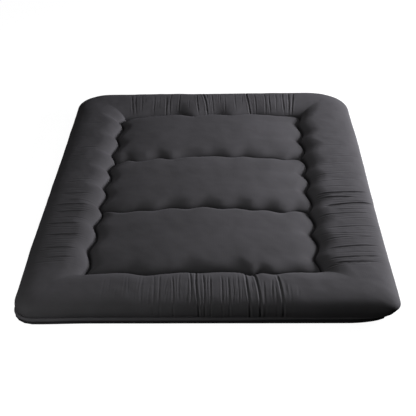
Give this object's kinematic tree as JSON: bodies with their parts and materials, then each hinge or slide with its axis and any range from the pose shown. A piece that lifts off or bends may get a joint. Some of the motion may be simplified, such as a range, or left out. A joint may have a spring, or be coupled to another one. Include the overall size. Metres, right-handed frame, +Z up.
{
  "type": "futon mattress",
  "caption": "Quilted floor futon mattress with a raised bolster border round padded centre panels and a piped bottom edge, folding up at its cross seams.",
  "frame": {"origin": "on the floor under the middle of the mattress", "axes": "+Z up from the floor, +Y from the foot end to the head end along the length, +X across the width"},
  "size_m": [1.52, 2.03, 0.1],
  "materials": {
    "cover_cloth": "brushed charcoal polyester, matt with a faint sheen",
    "base_cloth": "plain black backing cloth, matt",
    "welt_cloth": "charcoal cloth over a filler cord, matt",
    "fibre_fill": "white polyester fibre batting",
    "foam_core": "open-cell foam",
    "thread": "black polyester thread"
  },
  "bodies": {
    "foot_section": {"foot_base_cloth": "base_cloth", "foot_foam_core": "foam_core", "foot_cover": "cover_cloth", "foot_centre_pad": "fibre_fill", "foot_border_roll": "fibre_fill", "foot_welt": "welt_cloth", "foot_border_stitching": "thread"},
    "middle_section": {"middle_base_cloth": "base_cloth", "middle_foam_core": "foam_core", "middle_cover": "cover_cloth", "middle_centre_pad": "fibre_fill", "middle_border_roll_left": "fibre_fill", "middle_border_roll_right": "fibre_fill", "middle_left_welt": "welt_cloth", "middle_right_welt": "welt_cloth", "middle_left_border_stitching": "thread", "middle_right_border_stitching": "thread", "foot_cross_stitching": "thread", "head_cross_stitching": "thread"},
    "head_section": {"head_base_cloth": "base_cloth", "head_foam_core": "foam_core", "head_cover": "cover_cloth", "head_centre_pad": "fibre_fill", "head_border_roll": "fibre_fill", "head_welt": "welt_cloth", "head_border_stitching": "thread"}
  },
  "joints": [
    {"name": "foot_seam_fold", "type": "hinge", "parent": "foot_section", "child": "middle_section", "pos_m": [0, -0.25, 0.101], "axis": [1, 0, 0], "range_deg": [0, 179]},
    {"name": "head_seam_fold", "type": "hinge", "parent": "middle_section", "child": "head_section", "pos_m": [0, 0.25, -0.001], "axis": [1, 0, 0], "range_deg": [-179, 0]}
  ],
  "couplings": [
    {"joint": "head_seam_fold", "follows": "foot_seam_fold", "ratio": -1}
  ]
}
